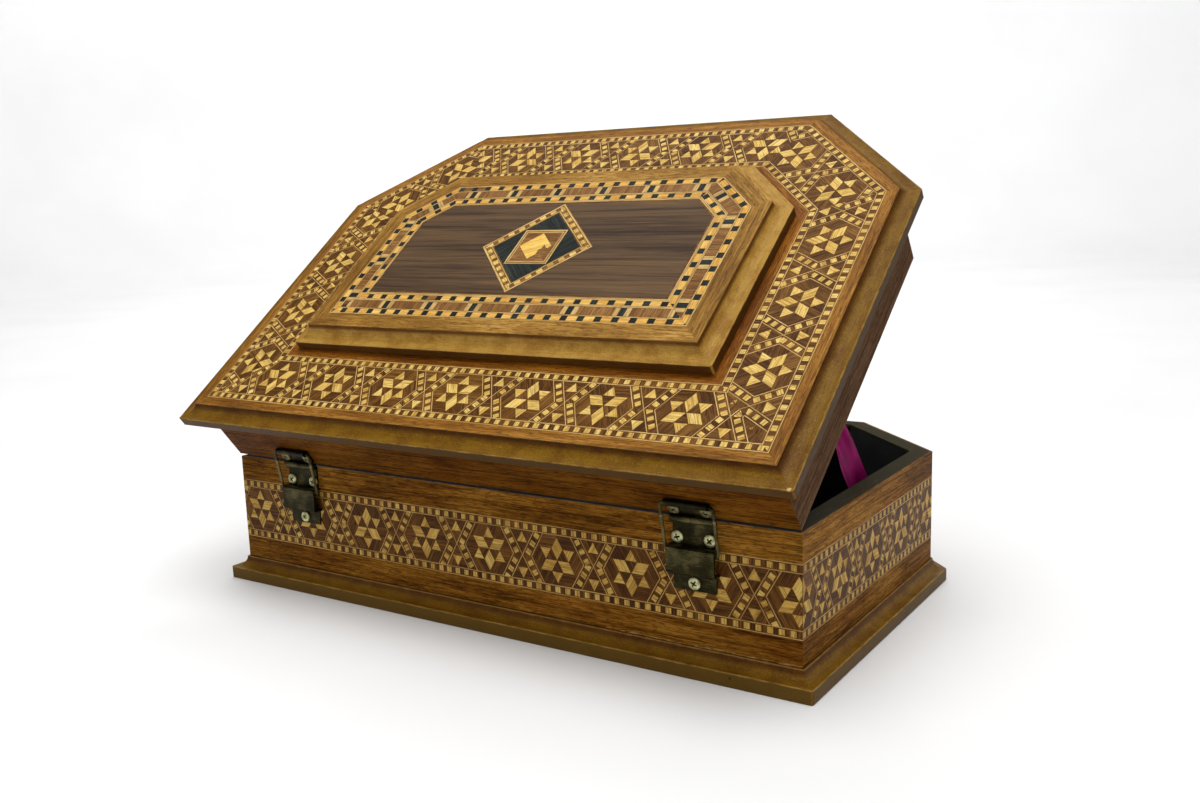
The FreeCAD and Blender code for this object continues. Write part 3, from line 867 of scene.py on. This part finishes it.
def makeStarBands(boxFinishes, lidFinishes):
    for side, name in enumerate(sideNames):
        middle, length, along, out = sideFrame(side)
        reach = length / 2
        # wall: seen from outside, right is along the side and up is up
        width = wallBand["high"] - wallBand["low"]
        edge = rectangle(-reach, -width / 2, reach, width / 2)
        centre = (*middle, (wallBand["low"] + wallBand["high"]) / 2)
        place = planeOf((*along, 0), (0, 0, 1), (*out, 0), centre, boxTurn)
        inlay = starBand(-reach, reach, width, edge, wallBand["runs"].get(name, wallBand["otherRun"]))
        inlay.build("marquetry_wall_" + name, place, "box", "star_marquetry", boxFinishes)
        # lid: seen from above, up is outward
        inset, width = lidBand["inset"], lidBand["width"]
        centre = middle - out * (inset + width / 2)
        edge, place = lidStrip(side, inset, width, centre, lid["boardTop"])
        inlay = starBand(-reach, reach, width, edge, lidBand["runs"].get(name, lidBand["otherRun"]))
        inlay.build("marquetry_lid_" + name, place, "lid", "star_marquetry", lidFinishes)
    print("star bands laid")


panelBorder = {
    "inset": 52.1,
    "width": 15.1,
    "rows": [("line", 0.50), ("gap", 0.12), ("check", 2.85), ("gap", 0.12), ("line", 0.45), ("gap", 0.20),
             ("blocks", 4.70), ("gap", 0.20), ("line", 0.42), ("gap", 0.20), ("line", 0.42), ("gap", 0.10),
             ("check", 2.75), ("gap", 0.10), ("line", 0.50), ("gap", 0.20), ("line", 0.50)],
    "check": [("ebony", 3.15), ("amber", 4.95)],
    "blocks": [("ebony", 2.9), ("stringing", 2.35), ("brownTile", 17.2), ("stringing", 2.35)],
    "marks": {  # middle of one ebony tile in the outer checks, the blocks and the inner checks
        "back": (-36.3, -36.9, -38.0),
        "left": (-5.1, -0.9, -7.6),
        "front_left": (2.0, -2.6, 0.5),
        "front": (51.9, 39.5, 43.6),
        "right": (-1.7, 1.8, -11.4),
    },
    "otherMarks": (0.0, 0.0, 0.0),
    "strays": 0.03,      # share of tiles cut from another wood
    "seam": 0.05,
}


def makePanelBorder(finishes):
    inset, seam = panelBorder["inset"], panelBorder["seam"]
    for side, name in enumerate(sideNames):
        centre, length, _, _ = sideFrame(side, -inset)
        reach = length / 2
        edge, place = lidStrip(side, inset, panelBorder["width"], centre, lid["panelTop"])
        inlay = Inlay(edge)
        marks = list(panelBorder["marks"].get(name, panelBorder["otherMarks"]))
        high = 0.0
        for kind, height in panelBorder["rows"]:
            low = high - height
            if kind == "line":
                middle = (low + high) / 2
                inlay.strip((-reach, middle), (reach, middle), height, "stringing")
            elif kind != "gap":
                run = panelBorder[kind]
                grain = math.pi / 2 if kind == "blocks" else 0.0
                period = sum(long for _, long in run)
                x = marks.pop(0) - run[0][1] / 2
                x -= period * math.ceil((x + reach) / period)
                while x < reach:
                    for wood, long in run:
                        if wood == "amber" and dice.random() < panelBorder["strays"]:
                            wood = "brownTile"
                        inlay.lay(rectangle(x, low, x + long, high), wood, grain, seam=seam)
                        x += long
            high = low
        inlay.build("marquetry_border_" + name, place, "lid", "check_marquetry", finishes)
    print("panel border laid")


diamond = {
    "centre": (1.4, -0.4),
    "reach": 29.9,
    "border": 4.9,
    "rows": [("rosewood", 0.25), ("stringing", 0.85), ("rosewood", 0.2), ("check", 2.3), ("rosewood", 0.2),
             ("stringing", 0.5), ("rosewood", 0.4)],
    "check": [("boxwood", 3.0), ("brownTile", 2.3)],
    "square": 11.3,
    "squareRows": [("stringing", 0.7), ("brownTile", 0.55), ("stringing", 0.6)],
    "heart": 8.5,
    "heartCentre": (0.6, -0.6),
    "chips": [  # broken out of the heart's edge
        [(-2.8, 7.1), (-2.3, 1.9), (-3.6, 1.2), (-7.0, 5.0)],
        [(-3.6, 1.2), (-3.8, -1.5), (-5.7, 0.6), (-7.0, 5.0)],
        [(-5.7, 0.6), (-7.4, 1.1), (-7.0, 5.0)],
    ],
    "grains": {"ebony": 0.8, "heart": 0.3, "chips": 0.8},
}


def makeDiamond(finishes):
    place = planeOf((1, 0, 0), (0, 1, 0), (0, 0, 1), (*diamond["centre"], lid["panelTop"]), lidTurn)
    reach = diamond["reach"]
    corners = [Vector(corner) for corner in ((reach, 0), (0, reach), (-reach, 0), (0, -reach))]
    inlay = Inlay(corners)
    for index in range(4):
        start, end = corners[index], corners[(index + 1) % 4]
        along = (end - start).normalized()
        inward = Vector((-along.y, along.x))
        mitre = [start, end, Vector((0, 0))]
        depth = 0.0
        for kind, height in diamond["rows"]:
            middle = inward * (depth + height / 2)
            if kind != "check":
                inlay.strip(start + middle, end + middle, height, kind, mitre)
            else:
                x, number = 0.0, 0
                while x < (end - start).length:
                    wood, length = diamond["check"][number % 2]
                    first = start + middle + along * x
                    inlay.strip(first, first + along * length, height, wood, mitre, 0.06)
                    x, number = x + length, number + 1
            depth += height
    innerReach = reach - diamond["border"] * math.sqrt(2)
    half, heart, grains = diamond["square"], diamond["heart"], diamond["grains"]
    for turn in range(4):  # four ebony corners round the square
        spin = Matrix.Rotation(math.pi / 2 * turn, 2)
        inlay.lay([spin @ Vector(corner) for corner in
                   ((innerReach, 0), (half, innerReach - half), (half, half - innerReach))], "ebony",
                  math.pi / 2 * turn + grains["ebony"])
        depth = 0.0
        mitre = ordered([spin @ Vector(corner) for corner in ((half, half), (half, -half), (0, 0))])
        for wood, height in diamond["squareRows"]:
            x = half - depth - height / 2
            inlay.strip(spin @ Vector((x, -half)), spin @ Vector((x, half)), height, wood, mitre)
            depth += height
        ground = half - depth
        inlay.lay([spin @ Vector(corner) for corner in ((ground, ground), (ground, -ground), (0, 0))],
                  "brownTile", 0.0, seam=0.0)
    x, y = diamond["heartCentre"]
    square = ordered([(x + heart, y), (x, y + heart), (x - heart, y), (x, y - heart)])
    inlay.lay(square, "gold", grains["heart"], 1, 0.0)
    for chip in diamond["chips"]:
        inlay.lay(chip, "brownTile", grains["chips"], 2, 0.0, square)
    inlay.build("marquetry_diamond", place, "lid", "check_marquetry", finishes)
    print("diamond laid")


# Screws

screw = {
    "rings": 14,
    "sides": 48,
    "dome": 0.45,           # share of the head's height that is domed
    "cross": (1.25, 0.30),  # half length and half width of the recess
    "depth": 0.55,
    "head": 1.2,            # height of a head
    "apart": 6,             # closer corners belong to one screw
    "light": {"box": (214, 210, 158), "lid": (132, 124, 84)},
}


def screwHeads(node, turn):  # middle, radius, foot and top of each head, from the CAD screws, lid shut
    groups = []
    for vertex in cadNodes[node].data.vertices:
        spot = turn.inverted() @ vertex.co / mm
        near = [group for group in groups
                if max(abs(group[0].x - spot.x), abs(group[0].z - spot.z)) < screw["apart"]]
        if near:
            near[0].append(spot)
        else:
            groups.append([spot])
    for group in groups:
        top = max(spot.y for spot in group)
        x, z = [(min(spot[axis] for spot in group) + max(spot[axis] for spot in group)) / 2 for axis in (0, 2)]
        yield x, z, max(spot.x for spot in group) - x, top - screw["head"], top


def makeScrews(bodyName):
    node, turn = bodyName + "_leaf_screws", bodyTurns[bodyName]
    finish = screwBrass("screw_finish_" + bodyName, screw["light"][bodyName])
    sides, rings = screw["sides"], screw["rings"]
    length, width = screw["cross"]
    for number, (x, z, radius, foot, top) in enumerate(screwHeads(node, turn)):
        spin = dice.uniform(0.2, 1.3)
        places, inRecess = [], []
        for ring in range(rings + 2):
            share = min(ring / rings, 1.0)
            reach = radius * share
            rise = 0.0 if ring > rings else (top - foot) * (1 - screw["dome"] * share ** 2.6)
            for side in range(sides):
                angle = 2 * math.pi * side / sides
                a, b = [abs(reach * part) for part in (math.cos(angle + spin), math.sin(angle + spin))]
                inRecess.append(1.0 if min(a, b) < width and max(a, b) < length else 0.0)
                place = (x + reach * math.cos(angle), foot + rise - screw["depth"] * inRecess[-1],
                         z + reach * math.sin(angle))
                places.append(turn @ (Vector(place) * mm))
        mesh = makeMesh("screw", places, net(rings + 1, sides, True), [finish])
        store(mesh, "recess", "FLOAT", "POINT", inRecess)
        piece = onBody("screw_" + bodyName + "_" + str(number + 1), mesh, bodyName)
        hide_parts(node)
    print("screws made on the " + bodyName)


# Finishes of the CAD nodes

brassTones = {
    "leaves": [(25, 23, 13), (42, 39, 22), (116, 106, 68)],
    "wires": [(34, 31, 18), (62, 56, 32), (126, 114, 74)],
}


def finishNodes():
    boxBoards = boardWood("mahogany_box", "mahogany", False, 0.02)
    # the lid's back skirt: mahogany with painted shade under the lid board's overhang
    lidBack = boardWood("skirt_back", "shadedSkirtMahogany", True, 0.02)
    lidSides = boardWood("skirt_sides", "darkMahogany", True, 0.0)
    rosewoodLid = flatWood("ground_lid", True, "rosewood")
    rosewoodBox = flatWood("ground_box", False, "rosewood")
    field = walnutField()
    brass, wornBrass = agedBrass("agedBrass", brassTones["leaves"]), agedBrass("wornBrass", brassTones["wires"])
    feet = {"base_board": 0.0, "lid_board": lid["boardLow"], "raised_panel": lid["boardTop"]}
    for node, piece in cadNodes.items():
        if node.startswith("wall_") and "lining" not in node:
            finish = boxBoards
        elif node.startswith("lid_skirt"):
            finish = lidBack if node.endswith("back") else lidSides
        elif node in mouldings:
            finish = mouldedWood(node, feet[node], node != "base_board")
        elif node.startswith("band_"):
            finish = rosewoodBox
        elif node.startswith(("lid_band", "panel_border")):
            finish = rosewoodLid
        elif node.startswith(("panel_field", "diamond")):
            finish = field
        elif "leaf" in node and "screws" not in node:
            finish = brass
        elif "pin" in node or "stay" in node:
            finish = wornBrass
        else:
            continue
        piece.data.materials.clear()
        piece.data.materials.append(finish)
    print("CAD nodes finished")


# Black velvet lining

lining = {
    "thick": 0.7,
    "cell": 4.0,
    "ripple": 0.12,
    "waves": (0.21, 1.3, 0.27),      # ripples along, their start, and ripples across
    "rounded": (0.35, 1.6),          # share of the thickness at the edge, and how far in it is full
    "gap": 0.3,                      # at each end of a wall's sheet
    "tuck": 0.1,                     # floor and ceiling reach this much short of the walls
    "lidFoot": 1.2,                  # the lid's sheets start this high above its rim
}


def clothSheet(name, corners, place, bodyName, finish):
    # a sheet of velvet inside a convex edge, a little uneven, with rounded edges
    edge = ordered(corners)
    work = bmesh.new()
    xs, ys = [corner.x for corner in edge], [corner.y for corner in edge]
    columns = max(2, round((max(xs) - min(xs)) / lining["cell"]))
    rows = max(2, round((max(ys) - min(ys)) / lining["cell"]))
    bmesh.ops.create_grid(work, x_segments=columns, y_segments=rows, size=0.5)
    for vertex in work.verts:
        vertex.co.x = min(xs) + (vertex.co.x + 0.5) * (max(xs) - min(xs))
        vertex.co.y = min(ys) + (vertex.co.y + 0.5) * (max(ys) - min(ys))
    spans = list(zip(edge, edge[1:] + edge[:1]))
    for start, end in spans:
        along = end - start
        bmesh.ops.bisect_plane(work, geom=work.verts[:] + work.edges[:] + work.faces[:], dist=1e-4,
                               plane_co=(*start, 0), plane_no=(along.y, -along.x, 0), clear_outer=True)
    (alongWave, waveStart, acrossWave), (edgeShare, roundness) = lining["waves"], lining["rounded"]
    for vertex in work.verts:
        near = min((end - start).normalized().cross(vertex.co.xy - start) for start, end in spans)
        wave = math.sin(vertex.co.x * alongWave + waveStart) * math.sin(vertex.co.y * acrossWave)
        full = lining["thick"] * min(1.0, edgeShare + near / roundness)
        vertex.co.z = full + lining["ripple"] * wave
    mesh = bpy.data.meshes.new(name)
    work.to_mesh(mesh)
    work.free()
    mesh.transform(place)
    smoothed(mesh)
    mesh.materials.append(finish)
    return onBody(name, mesh, bodyName)


def makeLining(finish):
    wall, gap = body["wall"], lining["gap"]
    whole = outline(-wall - lining["tuck"])
    wholeArea = abs(area(whole)) * mm * mm
    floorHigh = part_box("floor_lining")[0].z / mm
    place = planeOf((1, 0, 0), (0, 1, 0), (0, 0, 1), (0, 0, floorHigh), boxTurn)
    pad = clothSheet("velvet_floor", whole, place, "box", finish)
    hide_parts("floor_lining")
    for side, name in enumerate(sideNames):
        middle, length, along, out = sideFrame(side, -wall)
        low, high = [corner.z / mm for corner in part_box("wall_lining_" + name)]
        lidLow = lid["skirtLow"] + lining["lidFoot"]
        for bodyName, bottom, top, node, board in (
                ("box", low, high, "wall_lining_" + name, "wall_" + name),
                ("lid", lidLow, lid["boardLow"], "lid_lining", "lid_skirt_" + name)):
            half = (top - bottom) / 2
            place = planeOf((*-along, 0), (0, 0, 1), (*-out, 0), (*middle, (bottom + top) / 2),
                            bodyTurns[bodyName])
            edge = rectangle(-length / 2 + gap, -half, length / 2 - gap, half)
            sheet = clothSheet("velvet_" + bodyName + "_" + name, edge, place, bodyName, finish)
            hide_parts(node)
            2 * half * mm
            (length - 2 * gap) * mm
    place = planeOf((-1, 0, 0), (0, 1, 0), (0, 0, -1), (0, 0, lid["boardLow"]), lidTurn)
    ceiling = clothSheet("velvet_lid_top", whole, place, "lid", finish)
    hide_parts("lid_lining")
    print("velvet lining made")


# Ribbon

ribbon = {
    "points": [(3.0, 29.0), (8.0, 43.0), (18.0, 58.5), (33.0, 75.5), (47.0, 92.0), (56.0, 108.0)],
    "x": -134.4,
    "width": 17.4,
    "cut": 16.5,
    "length": 96.1,
    "stations": 72,
    "strands": 24,
    "pinch": {"at": 0.80, "spread": 0.20, "share": 0.25},     # gathered where it goes up into the lid
    "crease": 1.2,
    "gather": 0.7,
    "curl": 0.25,
}


def catmullRom(points, share):
    spans = len(points) - 1
    index = min(int(share * spans), spans - 1)
    t = share * spans - index
    before, after = points[max(index - 1, 0)], points[min(index + 2, spans)]
    here, following = points[index], points[index + 1]
    return (here * 2 + (following - before) * t + (before * 2 - here * 5 + following * 4 - after) * t ** 2
            + (here * 3 - before - following * 3 + after) * t ** 3) / 2


def makeRibbon(finish):
    points = [Vector(point) for point in ribbon["points"]]
    places, space = [], []
    stations, strands, pinch = ribbon["stations"], ribbon["strands"], ribbon["pinch"]
    for station in range(stations + 1):
        share = station / stations
        centre = catmullRom(points, share)
        step = catmullRom(points, min(share + 0.01, 1)) - catmullRom(points, max(share - 0.01, 0))
        across = Vector((-step.y, step.x)).normalized()
        held = math.exp(-((share - pinch["at"]) / pinch["spread"]) ** 2)
        for strand in range(strands + 1):
            side = strand / strands - 0.5
            crease = ribbon["crease"] * (abs(side + 0.06) * 2 - 0.5) * (1 + 1.4 * held)
            gather = ribbon["gather"] * held * math.cos(side * 22 + share * 8)
            curl = ribbon["curl"] * math.sin(share * 21 + side * 3)
            flat = centre - across * (side * ribbon["width"] * (1 - pinch["share"] * held))
            places.append(Vector((ribbon["x"] - crease + gather + curl, flat.x, flat.y)) * mm)
            space.append((side * ribbon["width"], share * ribbon["length"], 0.0))
    mesh = makeMesh("satin_ribbon", places, net(stations, strands, False), [finish])
    store(mesh, "clothSpace", "FLOAT_VECTOR", "POINT", space)
    piece = placed("satin_ribbon", mesh)
    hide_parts("lid_ribbon")
    low, high = [(ribbon["x"] * mm, point.x * mm, point.y * mm) for point in (points[0], points[-1])]
    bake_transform(piece)
    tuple(low)
    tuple(high)
    print("ribbon hung")


# Floor and light

studio = {
    "floor": {"radius": 2.3, "bend": 0.5, "rise": 1.5, "steps": 8, "sides": 90},
    "lamps": [  # name, place, aim, size and power
        ("top", (-0.2, 0.3, 1.5), (0, 0, 0.1), 1.3, 24),
        ("front", (0.1, 1.9, 0.9), (0, 0, 0.08), 0.8, 2.0),
        ("backdrop", (0.75, -1.1, 1.9), (1.45, -2.1, 0.45), 1.6, 32),
    ],
    "sky": 0.11,
}


def makeStudio():
    # a pale round floor that curves up all round the box
    shape = studio["floor"]
    radius, bend, sides = shape["radius"], shape["bend"], shape["sides"]
    profile = [(0.0, 0.0), (radius, 0.0)]
    for step in range(1, shape["steps"] + 1):
        turn = math.pi / 2 * step / shape["steps"]
        profile.append((radius + bend * math.sin(turn), bend * (1 - math.cos(turn))))
    profile.append((radius + bend, shape["rise"]))
    places = []
    for reach, height in profile:
        for side in range(sides):
            turn = -2 * math.pi * side / sides
            places.append((math.cos(turn) * reach, math.sin(turn) * reach, height))
    floor = placed("floor", makeMesh("floor", places, net(len(profile) - 1, sides, True), [paleFloor()]))
    floor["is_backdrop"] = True
    for name, place, aim, size, power in studio["lamps"]:
        lamp = bpy.data.lights.new(name, "AREA")
        lamp.size = size
        lamp.energy = power
        holder = placed("lamp_" + name, lamp)
        holder.location = place
        holder.rotation_euler = (Vector(aim) - Vector(place)).to_track_quat("-Z", "Y").to_euler()
    bpy.context.scene.view_settings.view_transform = "Standard"
    world = bpy.data.worlds.new("sky")
    world.use_nodes = True
    sky = world.node_tree.nodes["Background"].inputs
    sky["Color"].default_value = (1, 1, 1, 1)
    sky["Strength"].default_value = studio["sky"]
    bpy.context.scene.world = world
    print("studio lit")


makeCamera()
makeStudio()
finishNodes()
lidTiles = {name: tileWood(name, "lid", tile["shadeTint"]["lid"]) for name in tile["woods"]}
wallTiles = {name: tileWood(name, "wall", tile["shadeTint"]["wall"]) for name in tile["wallWoods"]}
makeStarBands(wallTiles, lidTiles)
makePanelBorder(lidTiles)
makeDiamond(lidTiles)
makeScrews("box")
makeScrews("lid")
makeLining(velvet())
makeRibbon(satin())

sizes = {name: [list(corner) for corner in bounds] for name, bounds in (("cad", cadBounds), ("visual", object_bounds()))}
